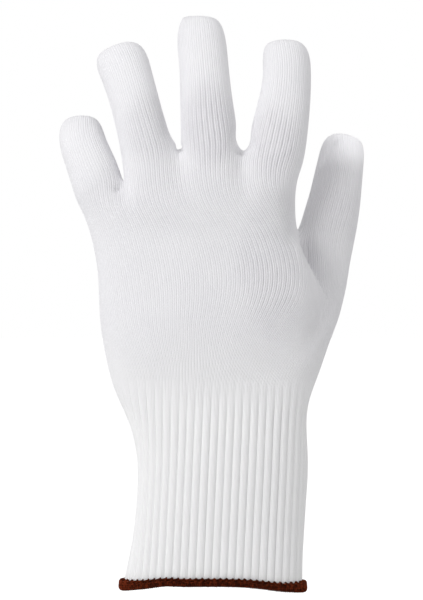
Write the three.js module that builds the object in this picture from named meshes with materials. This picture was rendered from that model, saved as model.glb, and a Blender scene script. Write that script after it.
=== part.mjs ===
// A knitted work glove in the form that it has when it is worn, with its fingers up.
// Lengths are millimetres. +Z runs to the fingertips, -Y is the back of the hand and +X the
// thumb's side. The origin is the middle of the wrist opening, level with the hem's lowest edge.
import * as THREE from 'three';

// The knit
const KNIT_WALL = 1.3;
const PIECE_GAP = 0.3;
const SIDE_COLUMNS = 2;
const FAIRING_PASSES = 8;
const FAIRING_SHRINK = 0.45;
const FAIRING_SWELL = -0.47;

// Fullness of the rounded outlines: 1 is an ellipse, less is squarer
const FINGER_FULLNESS = 0.9;
const HAND_FULLNESS = 0.85;
const THUMB_BASE_FULLNESS = 0.9;

// Fingertips: the tube narrows over the last stretch and closes in a short flat line
const TIP_LENGTH = 8;
const TIP_WIDTH_POWER = 3;
const TIP_DEPTH_POWER = 2.1;
const TIP_CLOSING_WIDTH = 0.62;
const TIP_CLOSING_DEPTH = 0.36;

// Webs: how far the edge between two fingers drops from its middle to the back and the palm
const WEB_DROP = 2.2;

// Share of a finger's length over which the slants of its root and its tip fade away
const SLANT_FADE = 0.4;

// Straight steps in a rounded outline, and the share of a finger on which its direction is taken
const ARC_STEPS = 60;
const DIRECTION_STEP = 0.02;

// Places of the rings along a finger, from its root, 0, to its tip, 1
const FINGER_RINGS = [0.1, 0.24, 0.39, 0.54, 0.69, 0.83, 0.94, 1];

// The five fingers, from the little finger to the thumb. columns counts the knit columns on the
// back, and as many are on the palm side. Each row of stations is a place on the centre line,
// from root to tip, with the tube's width and depth there. rootSlant lifts the root's thumb side
// and lowers its other side, and tipSlant does so at the tip. roll turns the tube about its own
// line. webLift raises the web between this finger and the one before it.
const FINGERS = [
  {
    piece: 'little_stall', columns: 6, rootSlant: 1, tipSlant: 0.8, roll: 0, webLift: 0,
    stations: [
      { x: -50.9, y: 4, z: 181.5, width: 23.6, depth: 20 },
      { x: -54.3, y: 6, z: 190, width: 22.8, depth: 19 },
      { x: -57.5, y: 10.5, z: 198, width: 21.4, depth: 18 },
      { x: -59.7, y: 17, z: 205.3, width: 20.6, depth: 17 },
      { x: -60.1, y: 25, z: 211.3, width: 19.4, depth: 16 },
    ],
  },
  {
    piece: 'ring_stall', columns: 7, rootSlant: 5, tipSlant: -1.8, roll: 0, webLift: -4.2,
    stations: [
      { x: -27.6, y: 1, z: 192, width: 25.6, depth: 21 },
      { x: -31.9, y: 4, z: 208, width: 23.2, depth: 19.5 },
      { x: -36, y: 9.5, z: 222, width: 22, depth: 18.5 },
      { x: -39.7, y: 18.5, z: 235, width: 23.2, depth: 18 },
      { x: -43.6, y: 28, z: 244, width: 24, depth: 17 },
    ],
  },
  {
    piece: 'middle_stall', columns: 7, rootSlant: 0, tipSlant: -1.4, roll: 0, webLift: 2.6,
    stations: [
      { x: -0.4, y: 0, z: 197.5, width: 27.4, depth: 21.5 },
      { x: -2.5, y: 3, z: 212, width: 25, depth: 20 },
      { x: -3.1, y: 8, z: 226, width: 22.8, depth: 19 },
      { x: -4.6, y: 17, z: 242, width: 22.1, depth: 18 },
      { x: -6, y: 28, z: 258.8, width: 22, depth: 17 },
    ],
  },
  {
    piece: 'index_stall', columns: 7, rootSlant: -1, tipSlant: -1.8, roll: 0, webLift: -2.8,
    stations: [
      { x: 27.3, y: 2, z: 194.5, width: 26.3, depth: 21.5 },
      { x: 30.6, y: 5, z: 210, width: 25.6, depth: 20 },
      { x: 32.7, y: 9.5, z: 223, width: 22.5, depth: 19 },
      { x: 33.8, y: 17.5, z: 235.5, width: 21.7, depth: 18 },
      { x: 32.6, y: 27, z: 246.5, width: 21.8, depth: 17 },
    ],
  },
  {
    piece: 'thumb_stall', columns: 8, rootSlant: -2, tipSlant: 0.8, roll: 20, webLift: 0,
    stations: [
      { x: 52.8, y: 25, z: 166, width: 26, depth: 25 },
      { x: 55.3, y: 31.5, z: 176, width: 23.6, depth: 22.5 },
      { x: 57.4, y: 38.5, z: 187, width: 21.8, depth: 20.5 },
      { x: 59.4, y: 45, z: 197, width: 20.4, depth: 18.5 },
      { x: 60.3, y: 51, z: 205, width: 19.2, depth: 17 },
    ],
  },
];
const THUMB = FINGERS[4];
const FOUR_FINGERS = FINGERS.slice(0, 4);
const handColumns = FOUR_FINGERS.reduce((sum, finger) => sum + finger.columns, 0);
const allColumns = handColumns + THUMB.columns;

// Level sections of the palm, from the cuff line up, with the little finger's side (ulnar), the
// first finger's side (edge), and how far the back and the palm stand out. thumbStart is the
// share of the back's outline that lies before the thumb's columns. rows is how many rows of
// knit squares lie between this section and the next one up.
const PALM_SECTIONS = [
  {
    z: 95, ulnarX: -45.8, ulnarY: 1, edgeX: 46.6, edgeY: 4, back: 20.5, palm: 21,
    thumbStart: 0.8, rows: 2,
  },
  {
    z: 113, ulnarX: -49.6, ulnarY: 2, edgeX: 53.2, edgeY: 10, back: 23.5, palm: 20,
    thumbStart: 0.86, rows: 2,
  },
];

// Sections where the thumb's base stands apart from the hand: grooves on the back (groove) and in
// the palm (crease), the base's outermost point (side) and how far its two faces stand out.
// tilt lowers the base towards the palm's side, by so much for each millimetre.
const THUMB_SECTIONS = [
  {
    z: 131, ulnarX: -51.3, ulnarY: 3, edgeX: 48.4, edgeY: 0, back: 19, palm: 7,
    grooveX: 49, grooveY: 6, sideX: 58.3, sideY: 20, creaseX: 20, creaseY: 22,
    thumbBack: 3, thumbPalm: 9, tilt: 0.1, rows: 2,
  },
  {
    z: 149, ulnarX: -52.9, ulnarY: 3, edgeX: 41.8, edgeY: -2, back: 17.5, palm: 5,
    grooveX: 41, grooveY: 7, sideX: 60.9, sideY: 23, creaseX: 28, creaseY: 19,
    thumbBack: 6, thumbPalm: 12, tilt: 0.22, rows: 1,
  },
  {
    z: 162, ulnarX: -55.8, ulnarY: 3, edgeX: 38.6, edgeY: -3, back: 16, palm: 5,
    grooveX: 37.5, grooveY: 7, sideX: 63, sideY: 27, creaseX: 34, creaseY: 15,
    thumbBack: 7, thumbPalm: 12, tilt: 0.36,
  },
];
const THUMB_WEB = { x: 38.8, y: 11, z: 162.6 };

// The knuckles: a slanting section, lower on the little finger's side
const KNUCKLE_SECTION = {
  ulnarX: -59, ulnarZ: 171, ulnarY: 4, edgeX: 37.4, edgeZ: 181, edgeY: 1, back: 16.5, palm: 12,
};
const KNUCKLE_ROWS = 2;
const FINGER_ROOT_ROWS = 2;

// The cuff, from its top edge to the hem. The wall's lowest stretch is straight.
const CUFF_SECTIONS = [
  { z: 87.5, ulnarX: -43.2, ulnarY: 0.7, edgeX: 44, edgeY: 2, back: 19.5, palm: 20.5 },
  { z: 80, ulnarX: -39.4, ulnarY: 0.4, edgeX: 42.4, edgeY: 1, back: 19.5, palm: 20.5 },
  { z: 71, ulnarX: -35.8, ulnarY: 0, edgeX: 42, edgeY: 0.5, back: 20, palm: 21 },
  { z: 54, ulnarX: -32.6, ulnarY: 0, edgeX: 43, edgeY: 0, back: 20, palm: 20.5 },
  { z: 22, ulnarX: -36.1, ulnarY: 0, edgeX: 40.3, edgeY: 0, back: 17, palm: 18 },
  { z: 2, ulnarX: -40.3, ulnarY: 0, edgeX: 40.4, edgeY: 0, back: 15, palm: 16 },
];

// The hem: a channel around the cuff's lowest edge, which arches up at the front and the back
const HEM_HEIGHT = 5.0;
const HEM_THICKNESS = 4.2;
const HEM_FLOOR = 1.7;
const HEM_CLEARANCE = 0.3;
const HEM_ARCH = 2.2;

// Colours and finishes
const WHITE_KNIT = { color: 0xf2f3f4, roughness: 0.95, metalness: 0 };
const RUST_BROWN_THREAD = { color: 0x4a1c12, roughness: 0.9, metalness: 0 };

// Catmull-Rom value between b and c
function smoothValue(a, b, c, d, t) {
  const slopeB = (c - a) / 2;
  const slopeC = (d - b) / 2;
  const cubic = 2 * b - 2 * c + slopeB + slopeC;
  const square = -3 * b + 3 * c - 2 * slopeB - slopeC;
  return ((cubic * t + square) * t + slopeB) * t + b;
}

function smoothPoint(a, b, c, d, t) {
  return new THREE.Vector3(
    smoothValue(a.x, b.x, c.x, d.x, t),
    smoothValue(a.y, b.y, c.y, d.y, t),
    smoothValue(a.z, b.z, c.z, d.z, t),
  );
}

// A table's row at a place from 0, its first row, to 1, its last
function tableRow(rows, place) {
  const last = rows.length - 1;
  const whole = Math.min(Math.floor(place * last), last - 1);
  const t = place * last - whole;
  const before = rows[Math.max(whole - 1, 0)];
  const after = rows[Math.min(whole + 2, last)];
  const values = {};
  for (const key of Object.keys(rows[0])) {
    values[key] = smoothValue(before[key], rows[whole][key], rows[whole + 1][key], after[key], t);
  }
  return values;
}

// An arc from one point to another that stands out by a bulge in its middle. It is round at both
// ends, like half an oval, or with openEnd it reaches its last point at a slant.
function bulgedArc(from, to, bulge, fullness, openEnd = false) {
  const points = [];
  for (let i = 0; i <= ARC_STEPS; i += 1) {
    const angle = Math.PI * i / ARC_STEPS;
    const share = openEnd ? 1 - Math.cos(angle / 2) : (1 - Math.cos(angle)) / 2;
    const height = Math.max(Math.sin(angle), 0) ** (openEnd ? 1 : fullness);
    points.push(from.clone().lerp(to, share).addScaledVector(bulge, height));
  }
  return points;
}

// A stretch of the same line, between two shares of its length, cut into equal steps
function evenSteps(points, count, start = 0, end = 1) {
  const lengths = [0];
  for (let i = 1; i < points.length; i += 1) {
    lengths.push(lengths[i - 1] + points[i].distanceTo(points[i - 1]));
  }
  const total = lengths[lengths.length - 1];
  const result = [];
  let i = 1;
  for (let step = 0; step <= count; step += 1) {
    const wanted = total * THREE.MathUtils.lerp(start, end, step / count);
    while (i < points.length - 1 && lengths[i] < wanted) {
      i += 1;
    }
    const t = (wanted - lengths[i - 1]) / (lengths[i] - lengths[i - 1]);
    result.push(points[i - 1].clone().lerp(points[i], t));
  }
  return result;
}

// A closed section with no thumb. The two halves meet at the two sides' middle points.
function ovalSection(section, columns) {
  const ulnar = new THREE.Vector3(section.ulnarX, section.ulnarY, section.ulnarZ ?? section.z);
  const edge = new THREE.Vector3(section.edgeX, section.edgeY, section.edgeZ ?? section.z);
  const backBulge = new THREE.Vector3(0, -section.back, 0);
  const palmBulge = new THREE.Vector3(0, section.palm, 0);
  const backArc = bulgedArc(ulnar, edge, backBulge, HAND_FULLNESS);
  const palm = evenSteps(bulgedArc(ulnar, edge, palmBulge, HAND_FULLNESS), columns + 2);
  const before = section.thumbStart ? handColumns + 1 : columns + 2;
  const split = section.thumbStart ?? 1;
  const back = evenSteps(backArc, before, 0, split);
  if (section.thumbStart) {
    back.push(...evenSteps(backArc, columns + 2 - before, split, 1).slice(1));
  }
  return {
    back: back.slice(1, -1),
    palm: palm.slice(1, -1),
    ulnarSide: ulnar,
    thumbSide: edge,
  };
}

// A section through the hand and the thumb's base, with a groove between them
function thumbSection(section) {
  const drop = (y) => section.tilt * Math.max(y - section.grooveY, 0);
  const at = (x, y) => new THREE.Vector3(x, y, section.z - drop(y));
  const ulnar = at(section.ulnarX, section.ulnarY);
  const edge = at(section.edgeX, section.edgeY);
  const groove = at(section.grooveX, section.grooveY);
  const side = at(section.sideX, section.sideY);
  const crease = at(section.creaseX, section.creaseY);
  const outward = side.clone().sub(groove);
  const across = new THREE.Vector3(outward.y, -outward.x, 0).normalize();
  const backArc = bulgedArc(ulnar, edge, new THREE.Vector3(0, -section.back, 0), HAND_FULLNESS);
  const toGroove = backArc.concat([edge.clone().lerp(groove, 0.5).setX(section.edgeX), groove]);
  const palmBulge = new THREE.Vector3(0, section.palm, 0);
  const palmArc = bulgedArc(ulnar, crease, palmBulge, HAND_FULLNESS, true);
  const backBulge = across.clone().multiplyScalar(section.thumbBack);
  const thumbBack = bulgedArc(side, groove, backBulge, THUMB_BASE_FULLNESS, true).reverse();
  const baseBulge = across.clone().multiplyScalar(-section.thumbPalm);
  baseBulge.z = -section.tilt * section.thumbPalm;
  const thumbPalm = bulgedArc(side, crease, baseBulge, THUMB_BASE_FULLNESS, true).reverse();
  const handBack = evenSteps(toGroove, handColumns + 1).slice(1);
  const handPalm = evenSteps(palmArc, handColumns + 1).slice(1);
  return {
    back: handBack.concat(evenSteps(thumbBack, THUMB.columns + 1).slice(1, -1)),
    palm: handPalm.concat(evenSteps(thumbPalm, THUMB.columns + 1).slice(1, -1)),
    ulnarSide: ulnar,
    thumbSide: side,
  };
}

// A section's points in one round: over the back, the thumb's side, the palm and the other side
function ringPoints(section) {
  return [...section.back, section.thumbSide, ...section.palm.slice().reverse(), section.ulnarSide];
}

// The part of a section that belongs to the four fingers, closed by a point in the thumb's web
function fourFingerPart(section, web) {
  return {
    back: section.back.slice(0, handColumns + 1),
    palm: section.palm.slice(0, handColumns + 1),
    ulnarSide: section.ulnarSide,
    thumbSide: web,
  };
}

// How much of a finger's width or depth is left at a distance from its tip
function narrowing(distance, power, least) {
  if (distance >= TIP_LENGTH) {
    return 1;
  }
  const share = (1 - (1 - distance / TIP_LENGTH) ** power) ** (1 / power);
  return Math.max(share, least);
}

function fingerLength(finger) {
  let length = 0;
  for (let i = 1; i < finger.stations.length; i += 1) {
    const a = finger.stations[i - 1];
    const b = finger.stations[i];
    length += Math.hypot(b.x - a.x, b.y - a.y, b.z - a.z);
  }
  return length;
}

// One ring of a finger's tube, over the back, the thumb's side, the palm and the other side
function fingerRing(finger, place) {
  const here = tableRow(finger.stations, place);
  const low = tableRow(finger.stations, Math.max(place - DIRECTION_STEP, 0));
  const high = tableRow(finger.stations, Math.min(place + DIRECTION_STEP, 1));
  const along = new THREE.Vector3(high.x - low.x, high.y - low.y, high.z - low.z).normalize();
  const wide = new THREE.Vector3(0, 1, 0).cross(along).normalize();
  wide.applyAxisAngle(along, THREE.MathUtils.degToRad(finger.roll));
  const deep = along.clone().cross(wide);
  const left = fingerLength(finger) * (1 - place);
  const halfWidth = here.width / 2 * narrowing(left, TIP_WIDTH_POWER, TIP_CLOSING_WIDTH);
  const halfDepth = here.depth / 2 * narrowing(left, TIP_DEPTH_POWER, TIP_CLOSING_DEPTH);
  const rootShare = Math.max(1 - place / SLANT_FADE, 0) ** 2;
  const tipShare = Math.max(1 - (1 - place) / SLANT_FADE, 0) ** 2;
  const slant = finger.rootSlant * rootShare + finger.tipSlant * tipShare;
  const count = 2 * (finger.columns + SIDE_COLUMNS);
  const points = [];
  for (let i = 0; i < count; i += 1) {
    const angle = Math.PI + 2 * Math.PI * (i + 1) / count;
    const cosine = Math.cos(angle);
    const sine = Math.sin(angle);
    const point = new THREE.Vector3(here.x, here.y, here.z);
    point.addScaledVector(wide, halfWidth * Math.sign(cosine) * Math.abs(cosine) ** FINGER_FULLNESS);
    point.addScaledVector(deep, halfDepth * Math.sign(sine) * Math.abs(sine) ** FINGER_FULLNESS);
    point.addScaledVector(along, slant * cosine);
    points.push(point);
  }
  return points;
}

// The net: the glove's outer surface as knit squares, each marked with its piece
const net = { points: [], faces: [] };

function addPoints(points) {
  const first = net.points.length;
  net.points.push(...points);
  return points.map((point, i) => first + i);
}

function joinRings(lower, upper, piece) {
  for (let i = 0; i < lower.length; i += 1) {
    const next = (i + 1) % lower.length;
    net.faces.push({ piece, corners: [lower[i], lower[next], upper[next], upper[i]] });
  }
}

// A round of point numbers over some columns of a section, closed by its two sides' points
function roundOf(section, first, last, thumbSide, ulnarSide) {
  const back = section.back.slice(first, last + 1);
  const palm = section.palm.slice(first, last + 1).reverse();
  return [...back, thumbSide, ...palm, ulnarSide];
}

// Splits a section's round of point numbers into its named stretches
function namedStretches(round, columns) {
  return {
    back: round.slice(0, columns + 1),
    thumbSide: round[columns + 1],
    palm: round.slice(columns + 2, 2 * columns + 3).reverse(),
    ulnarSide: round[2 * columns + 3],
  };
}

// Rings lofted between two sections, the last one lying on the second section
function loftRings(before, from, to, after, rows) {
  const rings = [];
  for (let row = 1; row <= rows; row += 1) {
    rings.push(from.map((point, i) => (
      smoothPoint(before[i], point, to[i], after[i], row / rows))));
  }
  return rings;
}

// The cuff and the palm below the thumb's crotch, from the hem up
function knitLowerHand() {
  const cuff = CUFF_SECTIONS.slice().reverse().map((row) => ringPoints(ovalSection(row, allColumns)));
  for (const point of cuff[0]) {
    point.z += hemArch(point);
  }
  const sections = PALM_SECTIONS.map((row) => ringPoints(ovalSection(row, allColumns)));
  for (const row of THUMB_SECTIONS) {
    sections.push(ringPoints(thumbSection(row)));
  }
  const rows = [...PALM_SECTIONS, ...THUMB_SECTIONS].map((row) => row.rows);
  let round = addPoints(cuff[0]);
  const hemRound = round;
  for (const ring of [...cuff.slice(1), sections[0]]) {
    const upper = addPoints(ring);
    joinRings(round, upper, 'ribbed_cuff');
    round = upper;
  }
  const cuffLine = round;
  for (let i = 0; i < sections.length - 1; i += 1) {
    const before = i > 0 ? sections[i - 1] : cuff[cuff.length - 1];
    const after = sections[Math.min(i + 2, sections.length - 1)];
    for (const ring of loftRings(before, sections[i], sections[i + 1], after, rows[i])) {
      const upper = addPoints(ring);
      joinRings(round, upper, 'knit_hand');
      round = upper;
    }
  }
  return { hemRound, cuffLine, crotchRound: round };
}

// How far the hem is arched up at a point: nothing at the two sides, most at front and back
function hemArch(point) {
  const last = CUFF_SECTIONS[CUFF_SECTIONS.length - 1];
  const middle = (last.ulnarX + last.edgeX) / 2;
  const reach = (last.edgeX - last.ulnarX) / 2;
  return HEM_ARCH * Math.max(1 - ((point.x - middle) / reach) ** 2, 0);
}

// The section at the roots of the four fingers, where neighbours share the points of a web
function fingerRoots() {
  const rings = FOUR_FINGERS.map((finger) => namedStretches(fingerRing(finger, 0), finger.columns));
  const section = { back: [], palm: [], ulnarSide: rings[0].ulnarSide, thumbSide: rings[3].thumbSide };
  const webs = [];
  rings.forEach((ring, i) => {
    const columns = FOUR_FINGERS[i].columns;
    if (i === 0) {
      section.back.push(...ring.back);
      section.palm.push(...ring.palm);
      return;
    }
    const drop = new THREE.Vector3(0, 0, FOUR_FINGERS[i].webLift - WEB_DROP);
    for (const face of ['back', 'palm']) {
      const shared = section[face].pop().clone().lerp(ring[face][0], 0.5).add(drop);
      section[face].push(shared, ...ring[face].slice(1, columns + 1));
    }
    const web = rings[i - 1].thumbSide.clone().lerp(ring.ulnarSide, 0.5);
    webs.push(web.add(new THREE.Vector3(0, 0, FOUR_FINGERS[i].webLift)));
  });
  return { section, webs };
}

// One finger's tube from its root up. Its lowest row belongs to the hand.
function knitFinger(finger, rootRound) {
  let round = rootRound;
  FINGER_RINGS.forEach((place, i) => {
    const upper = addPoints(fingerRing(finger, place));
    joinRings(round, upper, i === 0 ? 'knit_hand' : finger.piece);
    round = upper;
  });
  const tip = namedStretches(round, finger.columns);
  for (let i = 0; i < finger.columns; i += 1) {
    net.faces.push({
      piece: finger.piece,
      corners: [tip.back[i], tip.back[i + 1], tip.palm[i + 1], tip.palm[i]],
    });
  }
  const last = finger.columns;
  net.faces.push({ piece: finger.piece, corners: [tip.back[last], tip.thumbSide, tip.palm[last]] });
  net.faces.push({ piece: finger.piece, corners: [tip.palm[0], tip.ulnarSide, tip.back[0]] });
}

// The four-finger palm from the thumb's crotch to the finger roots, and all five fingers
function knitUpperHand(crotchRound) {
  const crotch = namedStretches(crotchRound, allColumns);
  const [thumbWeb] = addPoints([new THREE.Vector3(THUMB_WEB.x, THUMB_WEB.y, THUMB_WEB.z)]);
  const thumbRound = roundOf(crotch, handColumns, allColumns, crotch.thumbSide, thumbWeb);
  knitFinger(THUMB, thumbRound);

  const lower = THUMB_SECTIONS.slice(-2).map(thumbSection);
  const web = net.points[thumbWeb];
  const [before, from] = lower.map((part) => ringPoints(fourFingerPart(part, web)));
  const knuckles = ringPoints(ovalSection(KNUCKLE_SECTION, handColumns));
  const { section, webs } = fingerRoots();
  const roots = ringPoints(section);
  const rings = [
    ...loftRings(before, from, knuckles, roots, KNUCKLE_ROWS),
    ...loftRings(from, knuckles, roots, roots, FINGER_ROOT_ROWS),
  ];
  let round = roundOf(crotch, 0, handColumns, thumbWeb, crotch.ulnarSide);
  for (const ring of rings) {
    const upper = addPoints(ring);
    joinRings(round, upper, 'knit_hand');
    round = upper;
  }
  const rootNumbers = namedStretches(round, handColumns);
  const sides = [rootNumbers.ulnarSide, ...addPoints(webs), rootNumbers.thumbSide];
  let column = 0;
  FOUR_FINGERS.forEach((finger, i) => {
    const end = column + finger.columns;
    knitFinger(finger, roundOf(rootNumbers, column, end, sides[i + 1], sides[i]));
    column = end;
  });
}

// Neighbours of each point along the edges of the net
function neighbourLists(faces) {
  const lists = new Map();
  for (const { corners } of faces) {
    corners.forEach((corner, i) => {
      const next = corners[(i + 1) % corners.length];
      for (const point of [corner, next]) {
        if (!lists.has(point)) {
          lists.set(point, new Set());
        }
      }
      lists.get(corner).add(next);
      lists.get(next).add(corner);
    });
  }
  return lists;
}

// Evens out the net without shrinking it: each pass pulls in and then pushes out
function fairNet(fixed) {
  const neighbours = neighbourLists(net.faces);
  for (let pass = 0; pass < 2 * FAIRING_PASSES; pass += 1) {
    const share = pass % 2 === 0 ? FAIRING_SHRINK : FAIRING_SWELL;
    const moved = net.points.map((point, i) => {
      if (fixed.has(i)) {
        return point;
      }
      const middle = new THREE.Vector3();
      for (const other of neighbours.get(i)) {
        middle.add(net.points[other]);
      }
      middle.divideScalar(neighbours.get(i).size);
      return point.clone().lerp(middle, share);
    });
    net.points = moved;
  }
}

// Outward directions at the net's points
function outwardDirections() {
  const directions = net.points.map(() => new THREE.Vector3());
  for (const { corners } of net.faces) {
    const [a, b, c, d] = corners.map((corner) => net.points[corner]);
    const first = c.clone().sub(a);
    const second = (d ?? a).clone().sub(b);
    const normal = first.cross(second).normalize();
    for (const corner of corners) {
      directions[corner].add(normal);
    }
  }
  return directions.map((direction) => direction.normalize());
}

// A geometry from points and faces of three or four corners
function geometryOf(points, faces) {
  const positions = points.flatMap((point) => [point.x, point.y, point.z]);
  const triangles = [];
  for (const [a, b, c, d] of faces) {
    triangles.push(a, b, c);
    if (d !== undefined) {
      triangles.push(a, c, d);
    }
  }
  const geometry = new THREE.BufferGeometry();
  geometry.setAttribute('position', new THREE.Float32BufferAttribute(positions, 3));
  geometry.setIndex(triangles);
  geometry.computeVertexNormals();
  return geometry;
}

// One piece as a closed wall: its part of the net, the same inside, and rims that join the two.
// Where the piece meets another, its rim stands back by half the gap.
function wallGeometry(piece, outward) {
  const faces = net.faces.filter((face) => face.piece === piece).map((face) => face.corners);
  const edges = new Set();
  for (const corners of faces) {
    corners.forEach((corner, i) => edges.add(`${corner}:${corners[(i + 1) % corners.length]}`));
  }
  const rims = [...edges].map((edge) => edge.split(':').map(Number))
    .filter(([a, b]) => !edges.has(`${b}:${a}`));
  const rimPoints = new Set(rims.flat());
  const neighbours = neighbourLists(faces.map((corners) => ({ corners })));
  const numbers = new Map();
  const outer = [];
  const inner = [];
  for (const [number, around] of neighbours) {
    numbers.set(number, outer.length);
    const point = net.points[number].clone();
    if (rimPoints.has(number)) {
      const inside = [...around].filter((other) => !rimPoints.has(other));
      const middle = new THREE.Vector3();
      inside.forEach((other) => middle.add(net.points[other]));
      middle.divideScalar(inside.length);
      point.add(middle.sub(point).setLength(PIECE_GAP / 2));
    }
    outer.push(point);
    inner.push(point.clone().addScaledVector(outward[number], -KNIT_WALL));
  }
  const shift = outer.length;
  const solidFaces = [];
  for (const corners of faces) {
    const own = corners.map((corner) => numbers.get(corner));
    solidFaces.push(own);
    const [a, b, c, d] = own.map((corner) => corner + shift);
    solidFaces.push(d === undefined ? [a, c, b] : [a, d, c, b]);
  }
  for (const [a, b] of rims) {
    const [from, to] = [numbers.get(a), numbers.get(b)];
    solidFaces.push([to, from, from + shift, to + shift]);
  }
  return geometryOf([...outer, ...inner], solidFaces);
}

// The hem's channel, swept around the cuff's lowest edge, with its slot open upwards. The points
// of the cuff's next round up follow on from those of its first, in the same order.
function hemGeometry(hemRound, outward) {
  const half = HEM_THICKNESS / 2;
  const slot = KNIT_WALL / 2 + HEM_CLEARANCE;
  const profile = [
    { out: half, up: HEM_HEIGHT },
    { out: slot, up: HEM_HEIGHT },
    { out: slot, up: HEM_FLOOR },
    { out: -slot, up: HEM_FLOOR },
    { out: -slot, up: HEM_HEIGHT },
    { out: -half, up: HEM_HEIGHT },
    { out: -half, up: 0 },
    { out: half, up: 0 },
  ];
  const points = [];
  const rounds = hemRound.length;
  hemRound.forEach((number, i) => {
    const foot = net.points[number];
    const up = net.points[number + rounds].clone().sub(foot).normalize();
    const out = outward[number].clone().addScaledVector(up, -outward[number].dot(up)).normalize();
    const middle = foot.clone().addScaledVector(out, -KNIT_WALL / 2);
    middle.addScaledVector(up, -(HEM_FLOOR + HEM_CLEARANCE));
    for (const corner of profile) {
      points.push(middle.clone().addScaledVector(out, corner.out).addScaledVector(up, corner.up));
    }
  });
  const faces = [];
  for (let i = 0; i < rounds; i += 1) {
    const here = i * profile.length;
    const next = ((i + 1) % rounds) * profile.length;
    profile.forEach((corner, k) => {
      const after = (k + 1) % profile.length;
      faces.push([here + k, next + k, next + after, here + after]);
    });
  }
  return geometryOf(points, faces);
}

function pieceMesh(name, geometry, finish) {
  const mesh = new THREE.Mesh(geometry, new THREE.MeshStandardMaterial(finish));
  mesh.name = name;
  return mesh;
}

const { hemRound, cuffLine, crotchRound } = knitLowerHand();
knitUpperHand(crotchRound);
const cuffPoints = new Set();
for (let number = 0; number <= cuffLine[cuffLine.length - 1]; number += 1) {
  cuffPoints.add(number);
}
fairNet(cuffPoints);
const outward = outwardDirections();

const glove = new THREE.Group();
glove.name = 'knitted_work_glove';
for (const piece of ['knit_hand', ...FINGERS.map((finger) => finger.piece), 'ribbed_cuff']) {
  glove.add(pieceMesh(piece, wallGeometry(piece, outward), WHITE_KNIT));
}
glove.add(pieceMesh('hem_binding', hemGeometry(hemRound, outward), RUST_BROWN_THREAD));

export default glove;
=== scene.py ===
# %% [markdown]
# # A knitted work glove, from net to stitches
# The glove is one seamless knit: five tubes that join to a palm tube and run on into a ribbed
# cuff, with a dark overlocked hem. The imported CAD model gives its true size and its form. Here a
# copy of that form becomes a fine net that follows the knit's own lines, and gets its wales,
# ribs, folds and thread.

# %% Load the frame
import math

import bmesh
import bpy
import numpy as np
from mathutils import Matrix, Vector, noise


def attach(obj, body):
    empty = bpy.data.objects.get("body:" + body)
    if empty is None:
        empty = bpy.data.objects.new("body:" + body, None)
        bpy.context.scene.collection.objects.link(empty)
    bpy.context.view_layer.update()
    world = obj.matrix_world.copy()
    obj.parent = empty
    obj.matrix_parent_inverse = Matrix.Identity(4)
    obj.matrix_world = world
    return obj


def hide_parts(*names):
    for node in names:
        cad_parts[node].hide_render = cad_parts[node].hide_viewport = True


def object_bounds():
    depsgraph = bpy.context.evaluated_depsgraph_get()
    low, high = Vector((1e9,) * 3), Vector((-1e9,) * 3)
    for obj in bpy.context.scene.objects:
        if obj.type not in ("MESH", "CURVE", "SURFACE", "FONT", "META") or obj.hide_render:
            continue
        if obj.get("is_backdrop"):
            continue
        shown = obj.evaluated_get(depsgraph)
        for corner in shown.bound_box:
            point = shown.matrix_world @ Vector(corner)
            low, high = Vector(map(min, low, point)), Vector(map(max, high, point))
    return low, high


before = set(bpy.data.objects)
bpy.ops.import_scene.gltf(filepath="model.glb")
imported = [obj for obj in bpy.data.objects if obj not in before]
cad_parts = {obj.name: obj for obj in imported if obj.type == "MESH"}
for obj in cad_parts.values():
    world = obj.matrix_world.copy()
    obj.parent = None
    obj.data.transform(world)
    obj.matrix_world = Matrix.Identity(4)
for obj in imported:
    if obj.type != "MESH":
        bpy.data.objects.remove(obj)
cad_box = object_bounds()
print("CAD box in mm:", [[round(v * 1000, 1) for v in corner] for corner in cad_box])

# %% [markdown]
# ## The camera comes first
# Every shape is judged through it. A long lens far away keeps the fingers and the cuff in true
# proportion, as in a product photograph, and the lens length follows from how much of the
# object's height the picture's long side has to hold.

# %% Camera
CAMERA_DISTANCE = 2.0
CAMERA_X = -0.0006
CAMERA_HEIGHT = 0.13095
PICTURE_HEIGHT = 0.270
SENSOR = 36.0


def add_to_scene(name, data):
    obj = bpy.data.objects.new(name, data)
    bpy.context.scene.collection.objects.link(obj)
    return obj


camera_data = bpy.data.cameras.new("studio_camera")
camera_data.sensor_width = SENSOR
camera_data.lens = SENSOR * CAMERA_DISTANCE / PICTURE_HEIGHT
camera = add_to_scene("studio_camera", camera_data)
camera.location = (CAMERA_X, -CAMERA_DISTANCE, CAMERA_HEIGHT)
camera.rotation_euler = (math.pi / 2, 0, 0)
bpy.context.scene.camera = camera
print("lens in mm:", round(camera_data.lens, 1))

# %% [markdown]
# ## Outer skins of the knitted nodes
# Each knitted CAD node is a closed wall: an outer skin, an inner one, and a rim that joins them.
# The look needs the outer skin only, so a copy of each node is merged, its rim is deleted, and
# the larger of the two skins that are left is kept. A rim's faces are the only ones with an edge
# that is exactly as long as the wall is thick. Each face is marked with the number of its piece.

# %% Copy the outer skins
KNITTED = [
    "ribbed_cuff", "knit_hand", "little_stall", "ring_stall", "middle_stall", "index_stall",
    "thumb_stall",
]
WALL = 0.0013
SAME_POINT = 1e-6


def select_only(*objects):
    bpy.ops.object.select_all(action="DESELECT")
    for obj in objects:
        obj.select_set(True)
    bpy.context.view_layer.objects.active = objects[0]


def edit(obj, kind):
    """Opens an object in edit mode with nothing selected, and returns its mesh."""
    select_only(obj)
    bpy.ops.object.mode_set(mode="EDIT")
    bpy.ops.mesh.select_mode(type=kind)
    bpy.ops.mesh.select_all(action="DESELECT")
    return bmesh.from_edit_mesh(obj.data)


def surface_area(obj):
    return sum(face.area for face in obj.data.polygons)


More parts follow.
